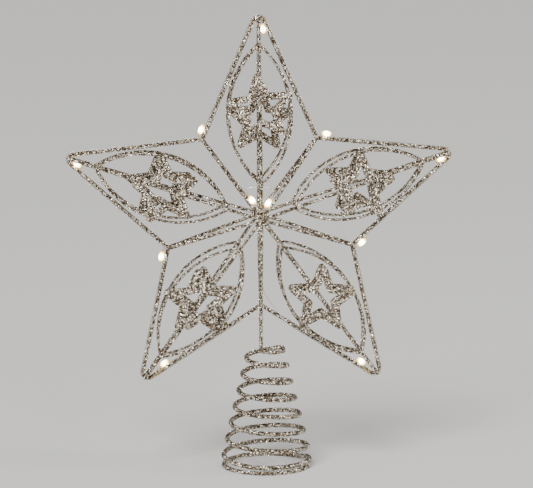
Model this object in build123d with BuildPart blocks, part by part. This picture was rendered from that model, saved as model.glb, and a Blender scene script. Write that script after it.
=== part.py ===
"""Christmas tree topper: a lit, double-sided wire star standing on a conical coil spring.

The star lies in the XZ plane with its front towards -Y, and the coil stands on Z = 0.
The origin is the middle of the base, straight below the star's middle.
"""

import os
from math import atan2, cos, hypot, pi, radians, sin, sqrt, tan

from build123d import *

# Star outline, in millimetres
star_height = 138.5  # middle of the star above the surface that the coil stands on
point_radius = 112.9  # where the straight legs of one point would meet
notch_radius = 52.7  # where the straight legs of one notch would meet
bottom_notch_radius = 48.7  # the same at the bottom notch, which the stem holds up
point_bend = 3.0
notch_bend = 2.0
outline_wire_radius = 1.1

# Spokes, which lap the front and the back of the outline and meet at two hub beads
hub_depth = 12.6
spoke_radius = 1.0
spoke_overhang = 0.6  # how far a spoke runs past the middle of the outline wire
hub_bead_radius = 3.9
hub_bead_thickness = 3.0
hub_bead_setback = 0.5  # of the bead's middle, behind the place where its spokes would meet
hub_bead_edge = 1.2

# Leaf of two bowed wires on each ridge, and the small open star that lies on it
leaf_outer_reach = 94.2
leaf_inner_reach = 19.0
leaf_half_width = 17.0
bow_radius = 0.8
small_star_radius = 16.9  # to the middle of the stroke, at a point
small_star_notch_ratio = 0.45
small_star_stroke = 4.0
small_star_thickness = 1.6
small_star_reaches = {  # from the hub along the ridge, as each star was set down
    "front": {"top": 60.0, "left": 53.7, "lower_left": 57.3, "lower_right": 56.2, "right": 57.0},
    "back": {"top": 51.7, "left": 57.0, "lower_left": 56.0, "lower_right": 58.0, "right": 57.1},
}
small_star_shifts = {  # across the ridge to the left, seen from the front
    "front": {"top": -0.2, "left": 1.1, "lower_left": -1.9, "lower_right": 0.1, "right": -2.0},
    "back": {"top": -0.8, "left": 1.3, "lower_left": 3.5, "lower_right": -0.2, "right": -0.8},
}
small_star_turns = {  # degrees to the left, seen from the front
    "front": {"top": 6.4, "left": 4.3, "lower_left": -2.1, "lower_right": -3.4, "right": -1.0},
    "back": {"top": -1.6, "left": 0.7, "lower_left": 1.7, "lower_right": -1.7, "right": -3.4},
}

# Stem and conical coil
stem_wire_radius = 1.05
coil_wire_radius = 1.3
coil_offset = 2.5  # the coil's axis, to the right of the star's
coil_top_radius = 9.0
coil_growth = 2.2  # radius gained in each turn
coil_foot_radius = 23.5
coil_turns = 8.2
coil_start_turn = 0.25
coil_split_turn = 4.25
coil_foot_space = 3.12  # between the middles of the last two turns, at the wire's end
coil_foot_lap = 0.2  # part of a turn for which the wire's end lies under the turn above it
coil_foot_drop = 0.25  # part of a turn in which the wire comes down to the level foot
foot_flat_depth = 0.5
stem_length = 24.4  # from the bottom notch down to the coil's top
stem_bend = 4.0

# Light string
string_radius = 0.2
string_notch_bend = 4.0
string_widest_bend = 60.0
string_bend_share = 0.45  # of the shorter run beside a bend
string_start_drop = 7.0  # below the bottom notch, where the string leaves the stem
string_start_reach = 12.0  # along the leg from the bottom notch, where the string comes to it
string_cross_reach = 11.0  # along the leg from the bottom notch, where the string has crossed it
string_cross_run = 7.0
string_join_reach = 40.0  # from the hub, where the string joins the bottom valley wire
string_hub_space = 0.9  # behind the hub bead
string_curl_space = 1.8  # behind the hub, where the string passes the top ridge wire
string_curl = [(15.9, 63), (17.9, 72), (17.6, 90), (18.6, 109), (18.2, 118)]  # reach and direction

# LED drops
led_radius = 1.2
led_length = 6.2
led_edge = 1.0
tip_led_spaces = {  # along the leg, from where a drop would lie between both legs of a point
    "top": 2.16,
    "left": 0.76,
    "lower_left": 8.76,
    "lower_right": 6.56,
    "right": 0.76,
}
notch_led_reaches = {"upper_left": 1.7, "lower_left": 2.2, "lower_right": 1.7, "upper_right": 2.1}
hub_led_left_reach = 8.4
hub_led_right_reach = 6.2

# Clearances
weld_gap = 0.06
string_gap = 0.1
led_gap = 0.25

# Directions from the middle of the star, in degrees
arms = {"top": 90, "left": 162, "lower_left": 234, "lower_right": 306, "right": 18}
notches = {"upper_left": 126, "lower_left": 198, "bottom": 270, "lower_right": 342, "upper_right": 54}
faces = {"front": -1, "back": 1}
half_step = 36

# Sizes that follow from the driving ones
notch_across = notch_radius * sin(radians(half_step))
notch_along = notch_radius * cos(radians(half_step))
point_half_angle = atan2(notch_across, point_radius - notch_along)
tip_reach = point_radius - point_bend * (1 / sin(point_half_angle) - 1)
notch_radii = {place: notch_radius for place in notches} | {"bottom": bottom_notch_radius}
notch_reaches = {}
leg_across = point_radius * sin(radians(half_step))
for place, radius in notch_radii.items():
    leg_along = point_radius * cos(radians(half_step)) - radius
    notch_reaches[place] = radius + notch_bend * (hypot(leg_across, leg_along) / leg_across - 1)
lap = outline_wire_radius + spoke_radius + weld_gap
hub_bead_depth = hub_depth - hub_bead_setback
string_offset = outline_wire_radius + string_radius + weld_gap
stem_top = star_height - notch_reaches["bottom"]
coil_top_height = stem_top - stem_length
coil_foot_height = coil_wire_radius - foot_flat_depth
coil_foot_turn = coil_turns - 1
coil_rest_turn = coil_foot_turn - coil_foot_lap
coil_level_turn = coil_foot_turn + coil_foot_drop
coil_rest_height = coil_foot_height + coil_foot_space
coil_pitch = (coil_top_height - coil_rest_height) / (coil_rest_turn - coil_start_turn)

os.makedirs("parts", exist_ok=True)


def write(piece, name):
    """Label a finished piece and write it as its own file."""
    piece.part.label = name
    export_step(piece.part, f"parts/{name}.step")


def star_point(reach, angle, depth=0.0, across=0.0):
    """A point in the star, along a direction from its middle and to the left of that direction."""
    along_x = cos(radians(angle))
    along_z = sin(radians(angle))
    x = reach * along_x - across * along_z
    z = reach * along_z + across * along_x
    return Vector(x, depth, star_height + z)


def spoke_ends(reach, angle, side):
    """Where a spoke starts at its hub bead and ends on the outline."""
    hub = star_point(0, angle, side * hub_depth)
    lap_point = star_point(reach, angle, side * lap)
    direction = (lap_point - hub).normalized()
    return hub + direction * (hub_bead_radius - spoke_radius), lap_point + direction * spoke_overhang


def hub_plane(side):
    """The plane through the middle of a hub bead, parallel to the star."""
    return Plane(origin=star_point(0, 0, side * hub_bead_depth), z_dir=(0, 1, 0))


def across_path(path):
    """The plane square to a path at its start."""
    return Plane(origin=path @ 0, z_dir=path % 0)


# Outline: one closed wire, hairpin bends at the points and tighter ones at the notches
outline_corners = []
outline_bends = []
for arm_angle, (notch, radius) in zip(arms.values(), notch_radii.items()):
    outline_corners += [star_point(point_radius, arm_angle), star_point(radius, notches[notch])]
    outline_bends += [point_bend, notch_bend]

with BuildPart() as outline_wire:
    with BuildLine() as outline_path:
        FilletPolyline(*outline_corners, radius=outline_bends, close=True)
    with BuildSketch(across_path(outline_path.wire())):
        Circle(outline_wire_radius)
    sweep(path=outline_path.wire())
write(outline_wire, "outline_wire")

# Spokes: ridge wires to the points and valley wires to the notches, on both faces
tip_reaches = {place: tip_reach for place in arms}
for kind, directions, reaches in (("ridge", arms, tip_reaches), ("valley", notches, notch_reaches)):
    for face, side in faces.items():
        for place, angle in directions.items():
            spoke_start, spoke_end = spoke_ends(reaches[place], angle, side)
            with BuildPart() as spoke:
                with BuildLine() as spoke_path:
                    Line(spoke_start, spoke_end)
                with BuildSketch(across_path(spoke_path.wire())):
                    Circle(spoke_radius)
                sweep(path=spoke_path.wire())
                with BuildSketch(hub_plane(side)):
                    Circle(hub_bead_radius + weld_gap)
                extrude(amount=hub_depth, both=True, mode=Mode.SUBTRACT)
            write(spoke, f"{face}_{kind}_{place}")

# Hub beads: the weld on each face that the spokes run into
for face, side in faces.items():
    with BuildPart() as hub_bead:
        with BuildSketch(hub_plane(side)):
            Circle(hub_bead_radius)
        extrude(amount=hub_bead_thickness / 2, both=True)
        fillet(hub_bead.edges().filter_by(GeomType.CIRCLE), radius=hub_bead_edge)
    write(hub_bead, f"{face}_hub_bead")


def ridge_frame(angle, side):
    """A ridge wire's plane: X runs outward along the ridge, Z away from the star."""
    hub = star_point(0, angle, side * hub_depth)
    along = (star_point(tip_reach, angle, side * lap) - hub).normalized()
    tangent = Vector(-sin(radians(angle)), 0, cos(radians(angle)))
    outward = along.cross(tangent)
    if outward.Y * side < 0:
        outward = -outward
    return Plane(origin=hub, x_dir=along, z_dir=outward)


# Leaves: two bowed wires welded to the sides of each ridge wire
bow_lift = spoke_radius - bow_radius
leaf_middle = (leaf_outer_reach + leaf_inner_reach) / 2
for face, side in faces.items():
    for place, angle in arms.items():
        ridge = ridge_frame(angle, side)
        for hand, sign in (("left", 1), ("right", -1)):
            turn = sign * -side
            outer_end = ridge.from_local_coords(Vector(leaf_outer_reach, 0, bow_lift))
            crown = ridge.from_local_coords(Vector(leaf_middle, turn * leaf_half_width, bow_lift))
            inner_end = ridge.from_local_coords(Vector(leaf_inner_reach, 0, bow_lift))
            with BuildPart() as bow:
                with BuildLine() as bow_path:
                    ThreePointArc(outer_end, crown, inner_end)
                with BuildSketch(across_path(bow_path.wire())):
                    Circle(bow_radius)
                sweep(path=bow_path.wire())
                with BuildSketch(Plane(origin=ridge.origin, z_dir=ridge.x_dir)):
                    Circle(spoke_radius + weld_gap)
                extrude(amount=tip_reach, mode=Mode.SUBTRACT)
            write(bow, f"{face}_leaf_{hand}_{place}")


def star_corners(radius):
    """The corners of a five-pointed star with its first point along X."""
    corners = []
    for corner in range(10):
        reach = radius if corner % 2 == 0 else radius * small_star_notch_ratio
        turned = radians(corner * half_step)
        corners.append((reach * cos(turned), reach * sin(turned)))
    return corners


# Small stars: flat and open, lying on the ridge wire and the two bows of each leaf
edge_across = small_star_notch_ratio * sin(radians(half_step))
edge_along = 1 - small_star_notch_ratio * cos(radians(half_step))
edge_distance = small_star_radius * edge_across / hypot(edge_across, edge_along)
outer_scale = 1 + small_star_stroke / 2 / edge_distance
inner_scale = 1 - small_star_stroke / 2 / edge_distance
for face, side in faces.items():
    for place, angle in arms.items():
        ridge = ridge_frame(angle, side)
        reach = small_star_reaches[face][place]
        shift = -side * small_star_shifts[face][place]
        seat = ridge.from_local_coords(Vector(reach, shift, spoke_radius + weld_gap))
        heading = ridge.x_dir.rotate(Axis(seat, ridge.z_dir), -side * small_star_turns[face][place])
        with BuildPart() as small_star:
            with BuildSketch(Plane(origin=seat, x_dir=heading, z_dir=ridge.z_dir)) as star_face:
                Polygon(*star_corners(small_star_radius * outer_scale), align=None)
                point_vertices = star_face.vertices().sort_by_distance((0, 0))[-5:]
                fillet(point_vertices, radius=small_star_stroke / 2)
                Polygon(*star_corners(small_star_radius * inner_scale), align=None, mode=Mode.SUBTRACT)
            extrude(amount=small_star_thickness)
        write(small_star, f"{face}_small_star_{place}")


def coil_point(turn):
    """A point on the coil's middle line, counted in turns down from the front of its top."""
    radius = min(coil_foot_radius, coil_top_radius + coil_growth * turn)
    height = max(coil_rest_height, coil_top_height - coil_pitch * (turn - coil_start_turn))
    if turn > coil_foot_turn:
        dropped = min(1, (turn - coil_foot_turn) / coil_foot_drop)
        height = coil_foot_height + coil_foot_space * (1 - dropped)
    around = 2 * pi * turn - pi / 2
    return Vector(coil_offset + radius * cos(around), radius * sin(around), height)


def coil_tangent(turn):
    """The coil's direction; it leaves the stem level and lies level along its foot."""
    step = 0.01
    run = coil_point(turn + step) - coil_point(turn - step)
    if turn == coil_start_turn or turn >= coil_rest_turn:
        run = Vector(-sin(2 * pi * turn - pi / 2), cos(2 * pi * turn - pi / 2), 0)
    return run.normalized()


def add_biarc(start, start_direction, end, end_direction):
    """Two arcs, smooth where they meet, between two points with set directions."""
    span = end - start
    both = start_direction + end_direction
    square = 2 * (1 - start_direction.dot(end_direction))
    linear = 2 * span.dot(both)
    arm = (sqrt(linear**2 + 4 * square * span.dot(span)) - linear) / (2 * square)
    knee = (start + start_direction * arm + end - end_direction * arm) / 2
    knee_direction = (end - end_direction * arm - start - start_direction * arm).normalized()
    TangentArc(start, knee, tangent=start_direction)
    TangentArc(knee, end, tangent=knee_direction)


def quarter_turns(first, last):
    """Every quarter turn from one place on the coil to another."""
    count = round((last - first) * 4)
    return [first + (last - first) * step / count for step in range(count + 1)]


# Coil: two lengths of one wire, straight for a diameter where they meet
coil_lead = 2 * coil_wire_radius
upper_turns = quarter_turns(coil_start_turn, coil_split_turn)
lower_turns = quarter_turns(coil_split_turn, coil_rest_turn)
lower_turns += [coil_foot_turn, *quarter_turns(coil_level_turn, coil_turns)]
for name, stations, has_end_lead in (("upper_coil", upper_turns, True), ("lower_coil", lower_turns, False)):
    spots = [coil_point(turn) for turn in stations]
    headings = [coil_tangent(turn) for turn in stations]
    knots = list(zip(spots, headings))
    knots[0] = (spots[0] + headings[0] * coil_lead, headings[0])
    if has_end_lead:
        knots[-1] = (spots[-1] - headings[-1] * coil_lead, headings[-1])
    with BuildPart() as coil:
        with BuildLine() as coil_path:
            Line(spots[0], knots[0][0])
            for (here, here_heading), (there, there_heading) in zip(knots, knots[1:]):
                add_biarc(here, here_heading, there, there_heading)
            if has_end_lead:
                Line(knots[-1][0], spots[-1])
        with BuildSketch(across_path(coil_path.wire())):
            Circle(coil_wire_radius)
        sweep(path=coil_path.wire())
        split(bisect_by=Plane.XY, keep=Keep.TOP)
    write(coil, name)

samples_per_turn = 60
sample_count = round((coil_turns - coil_start_turn) * samples_per_turn)
coil_spots = [coil_point(coil_start_turn + step / samples_per_turn) for step in range(sample_count + 1)]
least_space = min(
    (coil_spots[low] - coil_spots[high]).length
    for low in range(len(coil_spots))
    for high in range(low + samples_per_turn // 2, len(coil_spots))
)
print(f"coil: least gap to itself {least_space - 2 * coil_wire_radius:.2f} mm")

# Stem: from under the bottom notch, round a bend and a half loop into the coil's first turn
coil_start = coil_point(coil_start_turn)
loop_radius = coil_start.X / 2
stem_bend_top = coil_start.Z + stem_bend
with BuildPart() as stem:
    with BuildLine() as stem_path:
        Line((0, 0, stem_top), (0, 0, stem_bend_top))
        TangentArc((0, 0, stem_bend_top), (0, -stem_bend, coil_start.Z), tangent=(0, 0, -1))
        ThreePointArc(
            (0, -stem_bend, coil_start.Z),
            (loop_radius, -stem_bend - loop_radius, coil_start.Z),
            (coil_start.X, -stem_bend, coil_start.Z),
        )
        Line((coil_start.X, -stem_bend, coil_start.Z), coil_start)
    with BuildSketch(across_path(stem_path.wire())):
        Circle(stem_wire_radius)
    sweep(path=stem_path.wire())
    with BuildSketch(across_path(outline_path.wire())):
        Circle(outline_wire_radius + weld_gap)
    sweep(path=outline_path.wire(), mode=Mode.SUBTRACT)
write(stem, "stem")

# LED drops: inside the points, outside the notches and beside two front valley wires at the hub
def leg_point(tip, notch, reach, outward, depth=0.0):
    """A point beside the leg from a notch to a point, counted from the notch and to its outside."""
    notch_corner = star_point(notch_radii[notch], notches[notch])
    run = (star_point(point_radius, arms[tip]) - notch_corner).normalized()
    square = Vector(-run.Z, 0, run.X)
    if square.dot(star_point(1, notches[notch]) - star_point(0, 0)) < 0:
        square = -square
    return notch_corner + run * reach + square * outward + Vector(0, depth, 0)


def valley_point(reach, notch, across):
    """A point beside a front valley wire, to the left of its direction from the hub."""
    depth = hub_depth - (hub_depth - lap) * reach / notch_reaches[notch]
    return star_point(reach, notches[notch], -depth, across)


tip_led_offset = -(outline_wire_radius + led_radius + string_gap)
notch_led_offset = string_offset + string_radius + led_radius + string_gap
hub_led_offset = spoke_radius + led_radius + string_gap
tip_led_legs = [
    ("top", "upper_right"),
    ("left", "lower_left"),
    ("lower_left", "bottom"),
    ("lower_right", "bottom"),
    ("right", "lower_right"),
]
notch_led_legs = [
    ("top", "upper_left"),
    ("lower_left", "lower_left"),
    ("right", "lower_right"),
    ("right", "upper_right"),
]
hub_led_sites = [
    ("upper_left", hub_led_left_reach, -hub_led_offset),
    ("upper_right", hub_led_right_reach, hub_led_offset),
]
tip_rods = []
tip_led_start = -tip_led_offset / tan(point_half_angle)
for tip, notch in tip_led_legs:
    leg = star_point(point_radius, arms[tip]) - star_point(notch_radii[notch], notches[notch])
    reach = leg.length - tip_led_start - tip_led_spaces[tip]
    rod_start = leg_point(tip, notch, reach, tip_led_offset)
    tip_rods.append((rod_start, leg_point(tip, notch, reach - led_length, tip_led_offset)))
notch_rods = []
for tip, notch in notch_led_legs:
    reach = notch_led_reaches[notch]
    rod_start = leg_point(tip, notch, reach, notch_led_offset)
    notch_rods.append((rod_start, leg_point(tip, notch, reach + led_length, notch_led_offset)))
hub_rods = []
for notch, reach, across in hub_led_sites:
    rod_start = valley_point(reach, notch, across)
    hub_rods.append((rod_start, valley_point(reach + led_length, notch, across)))
for name, rods in (("tip_leds", tip_rods), ("notch_leds", notch_rods), ("hub_leds", hub_rods)):
    with BuildPart() as leds:
        for rod_start, rod_end in rods:
            with BuildSketch(Plane(origin=rod_start, z_dir=rod_end - rod_start)):
                Circle(led_radius)
            extrude(amount=led_length)
        fillet(leds.edges().filter_by(GeomType.CIRCLE), radius=led_edge)
    write(leds, name)

# Light string: from the stem clockwise round the outline, over its last leg,
# behind the bottom valley wire to the hub, and in a curl from one hub LED to the other
string_point_bend = point_bend + string_offset
behind_spoke = Vector(0, spoke_radius + string_radius + string_gap, 0)
behind_hub = star_point(0, 0, -hub_bead_depth + hub_bead_thickness / 2 + string_radius + string_hub_space)
string_start = Vector(-stem_wire_radius - weld_gap, 0, stem_top - string_start_drop)
first_leg = ("lower_left", "bottom")
last_leg = ("lower_right", "bottom")
ring_corners = []
ring_bends = []
ring_start = 2 * list(arms).index("lower_left")
for step in range(len(outline_corners) - 1):
    at_point = step % 2 == 0
    corner = outline_corners[ring_start - step]
    to_before = (outline_corners[ring_start - step + 1] - corner).normalized()
    to_after = (outline_corners[ring_start - step - 1] - corner).normalized()
    spread = string_offset / sin(radians(to_before.get_angle(to_after)) / 2)
    outward = (to_before + to_after).normalized() * (-1 if at_point else 1)
    ring_corners.append(corner + outward * spread)
    ring_bends.append(string_point_bend if at_point else string_notch_bend)
ring_route = [
    string_start,
    leg_point(*first_leg, string_start_reach, string_offset),
    *ring_corners,
    leg_point(*last_leg, string_cross_reach + 2 * string_cross_run, string_offset),
    leg_point(*last_leg, string_cross_reach + string_cross_run, string_offset, -string_offset),
    leg_point(*last_leg, string_cross_reach, -string_offset, -string_offset),
    valley_point(string_join_reach, "bottom", 0) + behind_spoke,
    behind_hub,
    valley_point(hub_led_right_reach - led_gap, "upper_right", hub_led_offset),
]
curl_depth = -hub_depth + spoke_radius + string_radius + string_curl_space
curl_route = [
    valley_point(hub_led_right_reach + led_length + led_gap, "upper_right", hub_led_offset),
    *[star_point(reach, angle, curl_depth) for reach, angle in string_curl],
    valley_point(hub_led_left_reach + led_length + led_gap, "upper_left", -hub_led_offset),
]


def corner_radii(route):
    """The largest even bend at each corner of a route, held to the size of what it goes round."""
    radii = []
    for before, corner, after in zip(route, route[1:], route[2:]):
        arriving = corner - before
        leaving = after - corner
        turn = radians(arriving.get_angle(leaving))
        widest = string_bend_share * min(arriving.length, leaving.length) / tan(turn / 2)
        radii.append(min(widest, string_widest_bend))
    return radii


lead_corner, *free_corners = corner_radii(ring_route)
ring_radii = [lead_corner, *ring_bends, *free_corners[len(ring_bends) :]]
curl_radii = corner_radii(curl_route)
print("light string bends, mm:", [round(radius, 1) for radius in ring_radii + curl_radii])
with BuildPart() as light_string:
    for route, radii in ((ring_route, ring_radii), (curl_route, curl_radii)):
        with BuildLine() as string_path:
            FilletPolyline(*route, radius=radii)
        with BuildSketch(across_path(string_path.wire())):
            Circle(string_radius)
        sweep(path=string_path.wire())
        section = pi * string_radius**2
        print(f"light string: {section * string_path.wire().length:.1f} mm3 by its length")
    print(f"light string: {light_string.part.volume:.1f} mm3 as made")
write(light_string, "light_string")
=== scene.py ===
"""Dresses the wire star tree topper: glitter coats, lit LED drops, the light string and the stage."""

import math

import bmesh
import bpy
import numpy as np
from bpy.props import FloatProperty, FloatVectorProperty, IntProperty, PointerProperty
from mathutils import Matrix, Vector
from mathutils.kdtree import KDTree


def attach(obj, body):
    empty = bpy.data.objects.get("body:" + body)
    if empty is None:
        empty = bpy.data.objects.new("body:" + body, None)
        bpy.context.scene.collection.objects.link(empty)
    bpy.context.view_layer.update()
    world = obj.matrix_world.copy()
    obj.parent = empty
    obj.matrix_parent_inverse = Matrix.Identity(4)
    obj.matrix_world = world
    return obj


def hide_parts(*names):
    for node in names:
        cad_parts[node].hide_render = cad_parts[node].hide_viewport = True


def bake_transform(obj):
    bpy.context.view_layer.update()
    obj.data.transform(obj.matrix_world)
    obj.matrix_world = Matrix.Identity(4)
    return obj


bl_info = {
    "name": "Glitter Star Topper",
    "version": (1, 0, 0),
    "blender": (4, 5, 0),
    "location": "View3D > Sidebar > Topper",
    "description": "Coats a wire star and its coil in glitter and lights its LED drops",
    "category": "Add Mesh",
}

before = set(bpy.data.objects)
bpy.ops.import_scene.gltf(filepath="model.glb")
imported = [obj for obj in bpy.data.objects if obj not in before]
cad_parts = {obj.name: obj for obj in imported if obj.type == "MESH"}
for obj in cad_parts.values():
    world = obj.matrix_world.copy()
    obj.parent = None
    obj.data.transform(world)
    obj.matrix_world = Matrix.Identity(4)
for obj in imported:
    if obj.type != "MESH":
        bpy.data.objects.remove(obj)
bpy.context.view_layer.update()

ARMS = ("top", "left", "lower_left", "lower_right", "right")
NOTCHES = ("upper_left", "lower_left", "bottom", "lower_right", "upper_right")
FACES = ("front", "back")
HANDS = ("left", "right")

MILLIMETRE = 0.001
MERGE_DISTANCE = 0.001 * MILLIMETRE  # between corners that are one corner of a frame node
STAR_MIDDLE = 138.5 * MILLIMETRE  # above the floor, as in the frame
COIL_WIRE = 2.6 * MILLIMETRE  # diameter, as in the frame

# Glitter: where the tones of the flakes begin and end, from 0 to 1, and the metal under them. The dark tone
# is painted reflection of dark surroundings and the bright silver tone is partly painted glint.
PAINTED_DARK_REFLECTION_END = 0.2
CHAMPAGNE_START, CHAMPAGNE_END = 0.3, 0.64
SILVER_AND_PAINTED_GLINT_START = 0.76
FLAKE_GLOSSIEST, FLAKE_DULLEST = 0.1, 0.4
FLAKE_METAL = 0.9

# Resin drops: where the tones of the light lie between an end, 0, and the middle, 1
AMBER_PLACE, GLOW_PLACE, CORE_PLACE = 0.05, 0.5, 0.95
CORE_FALL = 1.5  # how the core fades from the middle to the ends
HOT_SPOT_FALL = 2.8  # how fast the brightness fades with the core
END_STRENGTH = 0.7  # brightness at the ends
RESIN_ROUGHNESS = 0.08
RESIN_IOR = 1.5
RESIN_COAT = 0.6
DROP_SIDES, DROP_RINGS = 20, 16
DROP_TAPER = 0.12  # part of its width that a drop loses towards its ends
DROP_STRETCH = 1.06  # of the LED's length in the frame

# Leads and light string
LEAD_SEAT = 0.85  # of half a drop's length, where a lead starts inside it
LEAD_NEAR = 2  # straight runs of a lead, within which it goes to the string without an arch
LEAD_SIDES, LEAD_STEPS = 2, 6  # steps in a quarter of a lead's girth, and along it from point to point
LEAD_ORDER = 3
LEAD_ARCHES = {  # how far the leads of a group arch out to the front
    "tip_leds": 2.6 * MILLIMETRE,
    "notch_leds": 0.4 * MILLIMETRE,
    "hub_leds": 0.4 * MILLIMETRE,
}
WIRE_MOTTLE = 900.0  # patches in the wire's colour to a metre
WIRE_MOTTLE_DETAIL = 3.0
WIRE_TONE_PLACES = (0.3, 0.5, 0.72)  # of a wire's three tones, in the noise that mixes them
ENAMEL_TONES = ((0.6, 0.54, 0.45), (0.78, 0.74, 0.66), (0.92, 0.9, 0.85))
GILT_TONES = ((0.62, 0.4, 0.13), (0.86, 0.63, 0.27), (0.97, 0.82, 0.5))
WIRE_GLOSSIEST, WIRE_DULLEST = 0.2, 0.4
PLACE_DIGITS = 5  # of a place in metres, kept where the drops are put in order

# Stage
SENSOR_WIDTH = 36.0  # in millimetres
FLOOR_HALF_WIDTH = 12.0  # in metres
FLOOR_ROUGHNESS = 0.7
ROOM_TONE = (0.8, 0.79, 0.77)
ROOM_STRENGTH = 0.4
SUN_STRENGTH = 2.3
SUN_SPREAD = math.radians(24.0)
SUN_TURN = (math.radians(38.0), 0.0, math.radians(-24.0))
PANELS = (  # name, place, width in metres and power in watts
    ("key_panel", (-1.3, -1.8, 1.5), 0.46, 15.0),
    ("front_panel", (0.9, -2.3, 1.1), 0.36, 12.0),
    ("side_panel", (1.9, -0.4, 0.9), 0.4, 10.0),
)


class GlitterSettings(bpy.types.PropertyGroup):
    """The glitter coat on the wires and the small stars."""

    grain: FloatProperty(
        name="Grain",
        description="Grid that a wire is remade on before its flakes are set",
        default=0.0003,
        unit="LENGTH",
    )
    wire_flake: FloatProperty(
        name="Wire flake",
        description="Width of a usual flake on the wires, the stem and the coil",
        default=0.00056,
        unit="LENGTH",
    )
    star_flake: FloatProperty(
        name="Star flake",
        description="Width of a usual flake on the small stars",
        default=0.0005,
        unit="LENGTH",
    )
    tilt: FloatProperty(
        name="Tilt",
        description="Usual lean of a flake from the surface of the wire",
        default=math.radians(23.0),
        subtype="ANGLE",
    )
    lift: FloatProperty(
        name="Lift",
        description="How far a flake stands above or below its neighbours",
        default=0.00006,
        unit="LENGTH",
    )
    sink: FloatProperty(
        name="Sink",
        description="Depth of the middle of the coat below the wire's outer size",
        default=0.0001,
        unit="LENGTH",
    )
    spread: FloatProperty(
        name="Spread",
        description="Furthest that a flake reaches out of the coat's middle or into it",
        default=0.0002,
        unit="LENGTH",
    )
    seed: IntProperty(name="Seed", description="Start of the random flakes", default=41)
    # Painted dark reflection: near-black flakes stand for flakes that mirror dark surroundings
    painted_dark_reflection_tone: FloatVectorProperty(
        name="Shadow flakes",
        description="Colour of the flakes that look dark",
        subtype="COLOR",
        default=(0.05, 0.036, 0.024),
    )
    champagne_tone: FloatVectorProperty(
        name="Champagne flakes",
        description="Colour of the common flakes",
        subtype="COLOR",
        default=(0.2, 0.152, 0.1),
    )
    # Silver flakes, brightened to paint glints where real flakes catch a lamp
    silver_and_painted_glint_tone: FloatVectorProperty(
        name="Silver flakes",
        description="Colour of the bright flakes",
        subtype="COLOR",
        default=(1.0, 0.93, 0.81),
    )


class LightSettings(bpy.types.PropertyGroup):
    """The LED drops and their string."""

    core_tone: FloatVectorProperty(
        name="Core", description="Light at the middle of a drop", subtype="COLOR", default=(1.0, 0.95, 0.74)
    )
    glow_tone: FloatVectorProperty(
        name="Glow", description="Light round the core of a drop", subtype="COLOR", default=(1.0, 0.76, 0.28)
    )
    amber_tone: FloatVectorProperty(
        name="Amber", description="Light at the ends of a drop", subtype="COLOR", default=(0.88, 0.42, 0.05)
    )
    strength: FloatProperty(name="Strength", description="Brightness at the core of a drop", default=30.0)
    drop_width: FloatProperty(
        name="Drop width", description="Thickness of a resin drop", default=0.0027, unit="LENGTH"
    )
    lead_radius: FloatProperty(
        name="Lead radius", description="Radius of a drop's two leads", default=0.00019, unit="LENGTH"
    )
    lead_run: FloatProperty(
        name="Lead run", description="Straight run of a lead out of its drop", default=0.0011, unit="LENGTH"
    )


class StageSettings(bpy.types.PropertyGroup):
    """The camera and the floor."""

    azimuth: FloatProperty(
        name="Azimuth",
        description="Turn of the camera round the star",
        default=math.radians(-3.76),
        subtype="ANGLE",
    )
    elevation: FloatProperty(
        name="Elevation", description="Camera above the horizon", default=math.radians(8.31), subtype="ANGLE"
    )
    roll: FloatProperty(
        name="Roll", description="Tilt of the picture", default=math.radians(-0.455), subtype="ANGLE"
    )
    distance: FloatProperty(
        name="Distance", description="Camera to the middle of the star", default=1.457, unit="LENGTH"
    )
    lens: FloatProperty(name="Lens", description="Focal length in millimetres", default=180.95)
    shift: FloatVectorProperty(
        name="Shift", description="Shift of the picture on the sensor", size=2, default=(0.0120, -0.0513)
    )
    floor_tone: FloatVectorProperty(
        name="Floor", description="Colour of the floor", subtype="COLOR", default=(0.84, 0.83, 0.81)
    )


def node_material(name):
    """A new material and its node tree, with one principled shader."""
    material = bpy.data.materials.new(name)
    material.use_nodes = True
    tree = material.node_tree
    shader = tree.nodes["Principled BSDF"]
    return material, tree, shader


def colour_ramp(tree, stops):
    """A colour ramp through the given stops."""
    ramp = tree.nodes.new("ShaderNodeValToRGB")
    elements = ramp.color_ramp.elements
    while len(elements) < len(stops):
        elements.new(0.5)  # its own place is set below
    for element, (position, colour) in zip(elements, stops):
        element.position = position
        element.color = (*colour, 1.0)
    return ramp


def value_range(tree, source, low, high):
    """The output of a node that spreads a value of 0 to 1 from low to high."""
    spread = tree.nodes.new("ShaderNodeMapRange")
    spread.inputs["To Min"].default_value = low
    spread.inputs["To Max"].default_value = high
    tree.links.new(source, spread.inputs["Value"])
    return spread.outputs["Result"]


def glitter_material():
    """Metal flakes whose colour and gloss differ from flake to flake: dark flakes are painted reflections of
    dark surroundings and bright silver flakes are partly painted glints.
    """
    found = bpy.data.materials.get("champagne_glitter")
    if found:
        return found
    look = bpy.context.scene.topper_glitter
    material, tree, shader = node_material("champagne_glitter")
    flake = tree.nodes.new("ShaderNodeAttribute")
    flake.attribute_name = "flake"
    split = tree.nodes.new("ShaderNodeSeparateColor")
    tree.links.new(flake.outputs["Color"], split.inputs["Color"])
    # Flake tones: painted dark reflection, then champagne, then silver with painted glint
    ramp = colour_ramp(
        tree,
        [
            (0.0, look.painted_dark_reflection_tone),
            (PAINTED_DARK_REFLECTION_END, look.painted_dark_reflection_tone),
            (CHAMPAGNE_START, look.champagne_tone),
            (CHAMPAGNE_END, look.champagne_tone),
            (SILVER_AND_PAINTED_GLINT_START, look.silver_and_painted_glint_tone),
            (1.0, look.silver_and_painted_glint_tone),
        ],
    )
    tree.links.new(split.outputs["Red"], ramp.inputs["Fac"])
    tree.links.new(ramp.outputs["Color"], shader.inputs["Base Color"])
    gloss = value_range(tree, split.outputs["Green"], FLAKE_GLOSSIEST, FLAKE_DULLEST)
    tree.links.new(gloss, shader.inputs["Roughness"])
    shader.inputs["Metallic"].default_value = FLAKE_METAL
    return material


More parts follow.
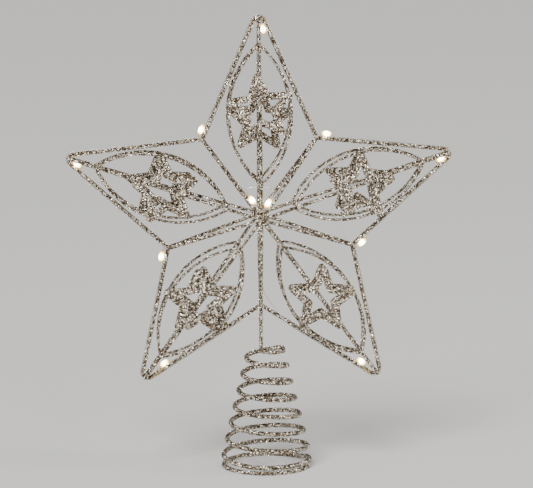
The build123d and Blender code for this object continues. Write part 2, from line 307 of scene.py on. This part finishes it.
def resin_material():
    """Clear resin over a lit chip: white at its middle and amber at its ends."""
    found = bpy.data.materials.get("lit_resin")
    if found:
        return found
    look = bpy.context.scene.topper_lights
    material, tree, shader = node_material("lit_resin")
    core = tree.nodes.new("ShaderNodeAttribute")
    core.attribute_name = "core"
    stops = [(AMBER_PLACE, look.amber_tone), (GLOW_PLACE, look.glow_tone), (CORE_PLACE, look.core_tone)]
    ramp = colour_ramp(tree, stops)
    tree.links.new(core.outputs["Fac"], ramp.inputs["Fac"])
    tree.links.new(ramp.outputs["Color"], shader.inputs["Emission Color"])
    tree.links.new(ramp.outputs["Color"], shader.inputs["Base Color"])
    hot_spot = tree.nodes.new("ShaderNodeMath")
    hot_spot.operation = "POWER"
    hot_spot.inputs[1].default_value = HOT_SPOT_FALL
    tree.links.new(core.outputs["Fac"], hot_spot.inputs[0])
    power = value_range(tree, hot_spot.outputs["Value"], END_STRENGTH, look.strength)
    tree.links.new(power, shader.inputs["Emission Strength"])
    shader.inputs["Roughness"].default_value = RESIN_ROUGHNESS
    shader.inputs["IOR"].default_value = RESIN_IOR
    shader.inputs["Coat Weight"].default_value = RESIN_COAT
    return material


def wire_material(name, tones):
    """Gilt or enamelled fine wire, whose colour and gloss vary a little along it."""
    found = bpy.data.materials.get(name)
    if found:
        return found
    material, tree, shader = node_material(name)
    place = tree.nodes.new("ShaderNodeTexCoord")
    noise = tree.nodes.new("ShaderNodeTexNoise")
    noise.inputs["Scale"].default_value = WIRE_MOTTLE
    noise.inputs["Detail"].default_value = WIRE_MOTTLE_DETAIL
    tree.links.new(place.outputs["Object"], noise.inputs["Vector"])
    ramp = colour_ramp(tree, list(zip(WIRE_TONE_PLACES, tones)))
    tree.links.new(noise.outputs["Fac"], ramp.inputs["Fac"])
    tree.links.new(ramp.outputs["Color"], shader.inputs["Base Color"])
    gloss = value_range(tree, noise.outputs["Fac"], WIRE_GLOSSIEST, WIRE_DULLEST)
    tree.links.new(gloss, shader.inputs["Roughness"])
    shader.inputs["Metallic"].default_value = 1.0
    return material


def enamelled_wire():
    """The light string's silver wire, with a trace of champagne in its enamel."""
    return wire_material("enamelled_wire", ENAMEL_TONES)


def gilt_lead():
    """The gilt leads at the ends of the drops."""
    return wire_material("gilt_lead", GILT_TONES)


def link_object(name, data):
    """A new object in the scene, at the origin."""
    made = bpy.data.objects.new(name, data)
    bpy.context.scene.collection.objects.link(made)
    return made


def link_piece(mesh, name, material):
    """A new piece of the topper, with one material in its one slot."""
    piece = link_object(name, mesh)
    piece.data.materials.clear()
    piece.data.materials.append(material)
    return piece


def merged_copy(node):
    """A copy of a frame node's mesh with its loose triangles joined."""
    shape = bmesh.new()
    shape.from_mesh(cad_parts[node].data)
    bmesh.ops.remove_doubles(shape, verts=shape.verts, dist=MERGE_DISTANCE)
    return shape


def evaluated_mesh(source):
    """The mesh that an object's modifiers give."""
    graph = bpy.context.evaluated_depsgraph_get()
    graph.update()
    return bpy.data.meshes.new_from_object(source.evaluated_get(graph))


def modified_mesh(mesh, name, kind, **settings):
    """The mesh that one modifier makes of a mesh, which is used up."""
    holder = link_object(name, mesh)
    modifier = holder.modifiers.new(name, kind)
    for setting, value in settings.items():
        setattr(modifier, setting, value)
    made = evaluated_mesh(holder)
    bpy.data.objects.remove(holder)
    bpy.data.meshes.remove(mesh)
    return made


def vertex_rows(entries, field):
    """The places or the normals of a mesh's vertices, one row for each."""
    rows = np.empty(3 * len(entries))
    entries.foreach_get(field, rows)
    return rows.reshape(-1, 3)


def glitter_coat(node, flake_width):
    """A wire or small star remade as a skin of many flat flakes, each with its own tilt and tone."""
    look = bpy.context.scene.topper_glitter
    draws = np.random.default_rng(look.seed + sorted(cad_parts).index(node))
    shape = merged_copy(node)
    area = sum(face.calc_area() for face in shape.faces)
    coat = bpy.data.meshes.new(f"{node}_coat")
    shape.to_mesh(coat)
    shape.free()
    coat = modified_mesh(coat, "Grain", "REMESH", mode="VOXEL", voxel_size=look.grain)

    spots = vertex_rows(coat.vertices, "co")
    outward = vertex_rows(coat.vertex_normals, "vector")
    count = min(len(spots), round(area / flake_width**2))
    middles = spots[draws.choice(len(spots), count, replace=False)]
    flakes = KDTree(count)
    for index, middle in enumerate(middles):
        flakes.insert(middle, index)
    flakes.balance()
    owner = np.array([flakes.find(spot)[1] for spot in spots])
    lean = draws.normal(0.0, math.tan(look.tilt), (count, 3))
    step = draws.normal(0.0, look.lift, count)
    height = step[owner] + np.einsum("ij,ij->i", lean[owner], spots - middles[owner])
    height = np.clip(height, -look.spread, look.spread) - look.sink
    coat.vertices.foreach_set("co", (spots + outward * height[:, None]).ravel())

    # A random tone for each flake, which the glitter material turns into painted dark reflection, champagne
    # or silver with painted glint
    tones = np.ones((count, 4), np.float32)
    tones[:, :3] = draws.random((count, 3))
    first_corner = np.empty(len(coat.polygons), np.int32)
    coat.polygons.foreach_get("loop_start", first_corner)
    corner_spot = np.empty(len(coat.loops), np.int32)
    coat.loops.foreach_get("vertex_index", corner_spot)
    flake = coat.attributes.new("flake", "FLOAT_COLOR", "FACE")
    flake.data.foreach_set("color", tones[owner[corner_spot[first_corner]]].ravel())
    coat.name = f"{node}_glitter"
    coat.shade_flat()
    piece = link_piece(coat, f"{node}_glitter", glitter_material())
    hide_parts(node)
    return piece


class TOPPER_OT_outline(bpy.types.Operator):
    """Coat the star's outline wire in glitter"""

    bl_idname = "topper.outline"
    bl_label = "Outline"

    def execute(self, context):
        flake = context.scene.topper_glitter.wire_flake
        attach(glitter_coat("outline_wire", flake), "star")
        return {"FINISHED"}


class TOPPER_OT_spokes(bpy.types.Operator):
    """Coat the ridge wires, the valley wires and the hub beads in glitter"""

    bl_idname = "topper.spokes"
    bl_label = "Spokes and hubs"

    def execute(self, context):
        flake = context.scene.topper_glitter.wire_flake
        for face in FACES:
            for arm in ARMS:
                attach(glitter_coat(f"{face}_ridge_{arm}", flake), "star")
            for notch in NOTCHES:
                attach(glitter_coat(f"{face}_valley_{notch}", flake), "star")
            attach(glitter_coat(f"{face}_hub_bead", flake), "star")
        return {"FINISHED"}


class TOPPER_OT_leaves(bpy.types.Operator):
    """Coat the bowed leaf wires in glitter"""

    bl_idname = "topper.leaves"
    bl_label = "Leaf wires"

    def execute(self, context):
        flake = context.scene.topper_glitter.wire_flake
        for face in FACES:
            for arm in ARMS:
                for hand in HANDS:
                    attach(glitter_coat(f"{face}_leaf_{hand}_{arm}", flake), "star")
        return {"FINISHED"}


class TOPPER_OT_small_stars(bpy.types.Operator):
    """Coat the small open stars in glitter"""

    bl_idname = "topper.small_stars"
    bl_label = "Small stars"

    def execute(self, context):
        flake = context.scene.topper_glitter.star_flake
        for face in FACES:
            for arm in ARMS:
                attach(glitter_coat(f"{face}_small_star_{arm}", flake), "star")
        return {"FINISHED"}


def blend_wire(piece):
    """Move a coil piece's skin in to the middle of its wire, bake the piece's transform into its mesh and put
    the skin back.
    """
    mesh = piece.data
    skin = vertex_rows(mesh.vertices, "co")
    outward = vertex_rows(mesh.vertex_normals, "vector")
    mesh.vertices.foreach_set("co", (skin - outward * COIL_WIRE / 2).ravel())
    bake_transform(piece)
    mesh.vertices.foreach_set("co", skin.ravel())
    mesh.update()


class TOPPER_OT_coil(bpy.types.Operator):
    """Coat the stem and the coil in glitter"""

    bl_idname = "topper.coil"
    bl_label = "Stem and coil"

    def execute(self, context):
        flake = context.scene.topper_glitter.wire_flake
        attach(glitter_coat("stem", flake), "star")
        blend_wire(
            glitter_coat("lower_coil", flake),
        )
        blend_wire(
            glitter_coat("upper_coil", flake),
        )
        return {"FINISHED"}


def drop_places(node):
    """The middle, direction and half length of each LED drop in a frame node."""
    shape = merged_copy(node)
    places = []
    waiting = set(shape.verts)
    while waiting:
        island = {waiting.pop()}
        edge_of_island = list(island)
        while edge_of_island:
            vertex = edge_of_island.pop()
            for edge in vertex.link_edges:
                other = edge.other_vert(vertex)
                if other in waiting:
                    waiting.remove(other)
                    island.add(other)
                    edge_of_island.append(other)
        spots = np.array([vertex.co for vertex in island])
        spots = spots[np.lexsort(spots.T)]
        middle = (spots.min(0) + spots.max(0)) / 2
        along = np.linalg.svd(spots - spots.mean(0), full_matrices=False)[2][0]
        reach = (spots - middle) @ along
        places.append((Vector(middle), Vector(along), float(np.ptp(reach)) / 2))
    shape.free()
    places.sort(key=lambda place: tuple(round(value, PLACE_DIGITS) for value in place[0]))
    return places


def lead_tube(points, radius):
    """A thin bent lead that follows its points, as a mesh."""
    curve = bpy.data.curves.new("lead", "CURVE")
    curve.dimensions = "3D"
    curve.bevel_depth = radius
    curve.bevel_resolution = LEAD_SIDES
    curve.resolution_u = LEAD_STEPS
    curve.use_fill_caps = True
    spline = curve.splines.new("NURBS")
    spline.points.add(len(points) - 1)
    for spot, point in zip(spline.points, points):
        spot.co = (*point, 1.0)
    spline.order_u = LEAD_ORDER
    spline.use_endpoint_u = True
    holder = link_object("lead", curve)
    tube = evaluated_mesh(holder)
    bpy.data.objects.remove(holder)
    bpy.data.curves.remove(curve)
    return tube


def string_spots():
    """The light string's corners, for finding the place on it that is nearest to a drop."""
    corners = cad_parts["light_string"].data.vertices
    spots = KDTree(len(corners))
    for index, corner in enumerate(corners):
        spots.insert(corner.co, index)
    spots.balance()
    return spots


def lit_drops(node):
    """Resin drops in the place of one group of LEDs."""
    look = bpy.context.scene.topper_lights
    drops = bmesh.new()
    core_layer = drops.verts.layers.float.new("core")
    for middle, along, half in drop_places(node):
        turn = along.to_track_quat("Z", "Y").to_matrix().to_4x4()
        ball = bmesh.ops.create_uvsphere(drops, u_segments=DROP_SIDES, v_segments=DROP_RINGS, radius=1.0)
        made = ball["verts"]
        for vertex in made:
            height = vertex.co.z
            vertex[core_layer] = 1.0 - abs(height) ** CORE_FALL
            girth = look.drop_width / 2 * (1.0 - DROP_TAPER * height**2)
            vertex.co = Vector((vertex.co.x * girth, vertex.co.y * girth, height * half * DROP_STRETCH))
        bmesh.ops.transform(drops, matrix=Matrix.Translation(middle) @ turn, verts=made)
    mesh = bpy.data.meshes.new(f"{node}_drops")
    drops.to_mesh(mesh)
    drops.free()
    mesh.shade_smooth()
    piece = link_piece(mesh, f"{node}_drops", resin_material())
    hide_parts(node)
    return piece


def drop_leads(node, arch):
    """Two leads from each drop of a group to the light string, arched out to the front."""
    look = bpy.context.scene.topper_lights
    spots = string_spots()
    leads = bmesh.new()
    for middle, along, half in drop_places(node):
        for way in (along, -along):
            end = middle + way * half * LEAD_SEAT
            turn_out = middle + way * (half + look.lead_run)
            foot, _, gap = spots.find(turn_out)
            if gap < LEAD_NEAR * look.lead_run:
                points = [end, turn_out, foot]
            else:
                crest = (turn_out + foot) / 2 + Vector((0.0, -arch, 0.0))
                over = foot + Vector((0.0, -arch / 2, 0.0))
                points = [end, turn_out, crest, over, foot]
            tube = lead_tube(points, look.lead_radius)
            leads.from_mesh(tube)
            bpy.data.meshes.remove(tube)
    mesh = bpy.data.meshes.new(f"{node}_leads")
    leads.to_mesh(mesh)
    leads.free()
    mesh.shade_smooth()
    return link_piece(mesh, f"{node}_leads", gilt_lead())


class TOPPER_OT_lights(bpy.types.Operator):
    """Make the lit LED drops and finish the light string"""

    bl_idname = "topper.lights"
    bl_label = "LED drops and string"

    def execute(self, context):
        for node, arch in LEAD_ARCHES.items():
            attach(lit_drops(node), "star")
            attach(drop_leads(node, arch), "star")
        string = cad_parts["light_string"]
        string.data.materials.clear()
        string.data.materials.append(enamelled_wire())
        return {"FINISHED"}


def aim_camera(target):
    """The camera at the photograph's viewing angle."""
    stage = bpy.context.scene.topper_stage
    turn, rise = stage.azimuth, stage.elevation
    back = Vector((math.sin(turn) * math.cos(rise), -math.cos(turn) * math.cos(rise), math.sin(rise)))
    right = Vector((math.cos(turn), math.sin(turn), 0.0))
    level = Matrix((right, back.cross(right), back)).transposed()
    lens = bpy.data.cameras.new("topper_camera")
    lens.lens = stage.lens
    lens.sensor_width = SENSOR_WIDTH
    lens.shift_x, lens.shift_y = stage.shift
    camera = link_object("topper_camera", lens)
    rolled = level @ Matrix.Rotation(stage.roll, 3, "Z")
    camera.matrix_world = Matrix.Translation(target + back * stage.distance) @ rolled.to_4x4()
    bpy.context.scene.camera = camera


def lay_floor():
    """The plain pale floor."""
    ground = bmesh.new()
    bmesh.ops.create_grid(ground, x_segments=2, y_segments=2, size=FLOOR_HALF_WIDTH)
    floor_mesh = bpy.data.meshes.new("pale_floor")
    ground.to_mesh(floor_mesh)
    ground.free()
    material, _, shader = node_material("pale_floor")
    shader.inputs["Base Color"].default_value = (*bpy.context.scene.topper_stage.floor_tone, 1.0)
    shader.inputs["Roughness"].default_value = FLOOR_ROUGHNESS
    floor_mesh.materials.append(material)
    link_object("pale_floor", floor_mesh)


def light_studio(target):
    """A dim room, a soft sun and three panels that face the star."""
    room = bpy.data.worlds.new("studio_room")
    room.use_nodes = True
    background = room.node_tree.nodes["Background"]
    background.inputs["Color"].default_value = (*ROOM_TONE, 1.0)
    background.inputs["Strength"].default_value = ROOM_STRENGTH
    bpy.context.scene.world = room
    sun = bpy.data.lights.new("soft_sun", "SUN")
    sun.energy = SUN_STRENGTH
    sun.angle = SUN_SPREAD
    link_object("soft_sun", sun).rotation_euler = SUN_TURN
    for name, place, width, power in PANELS:
        panel = bpy.data.lights.new(name, "AREA")
        panel.energy = power
        panel.size = width
        holder = link_object(name, panel)
        holder.location = place
        holder.rotation_euler = (target - Vector(place)).to_track_quat("-Z", "Y").to_euler()


class TOPPER_OT_stage(bpy.types.Operator):
    """Set the camera, the floor and the studio light"""

    bl_idname = "topper.stage"
    bl_label = "Stage"

    def execute(self, context):
        target = Vector((0.0, 0.0, STAR_MIDDLE))
        aim_camera(target)
        lay_floor()
        light_studio(target)
        return {"FINISHED"}


class TOPPER_PT_panel(bpy.types.Panel):
    """Lists the pieces of the topper"""

    bl_idname = "TOPPER_PT_panel"
    bl_label = "Star Topper"
    bl_space_type = "VIEW_3D"
    bl_region_type = "UI"
    bl_category = "Topper"

    def draw(self, context):
        for piece in OPERATORS:
            self.layout.operator(piece.bl_idname)


OPERATORS = (
    TOPPER_OT_outline,
    TOPPER_OT_spokes,
    TOPPER_OT_leaves,
    TOPPER_OT_small_stars,
    TOPPER_OT_coil,
    TOPPER_OT_lights,
    TOPPER_OT_stage,
)
CLASSES = (GlitterSettings, LightSettings, StageSettings, *OPERATORS, TOPPER_PT_panel)


def register():
    """Register the settings, the operators and the panel."""
    for entry in CLASSES:
        bpy.utils.register_class(entry)
    bpy.types.Scene.topper_glitter = PointerProperty(type=GlitterSettings)
    bpy.types.Scene.topper_lights = PointerProperty(type=LightSettings)
    bpy.types.Scene.topper_stage = PointerProperty(type=StageSettings)


def unregister():
    """Undo register."""
    del bpy.types.Scene.topper_stage
    del bpy.types.Scene.topper_lights
    del bpy.types.Scene.topper_glitter
    for entry in reversed(CLASSES):
        bpy.utils.unregister_class(entry)


def main():
    """Make every piece in order."""
    register()
    bpy.ops.topper.stage()
    bpy.ops.topper.outline()
    bpy.ops.topper.spokes()
    bpy.ops.topper.leaves()
    bpy.ops.topper.small_stars()
    bpy.ops.topper.coil()
    bpy.ops.topper.lights()


if __name__ == "__main__":
    main()
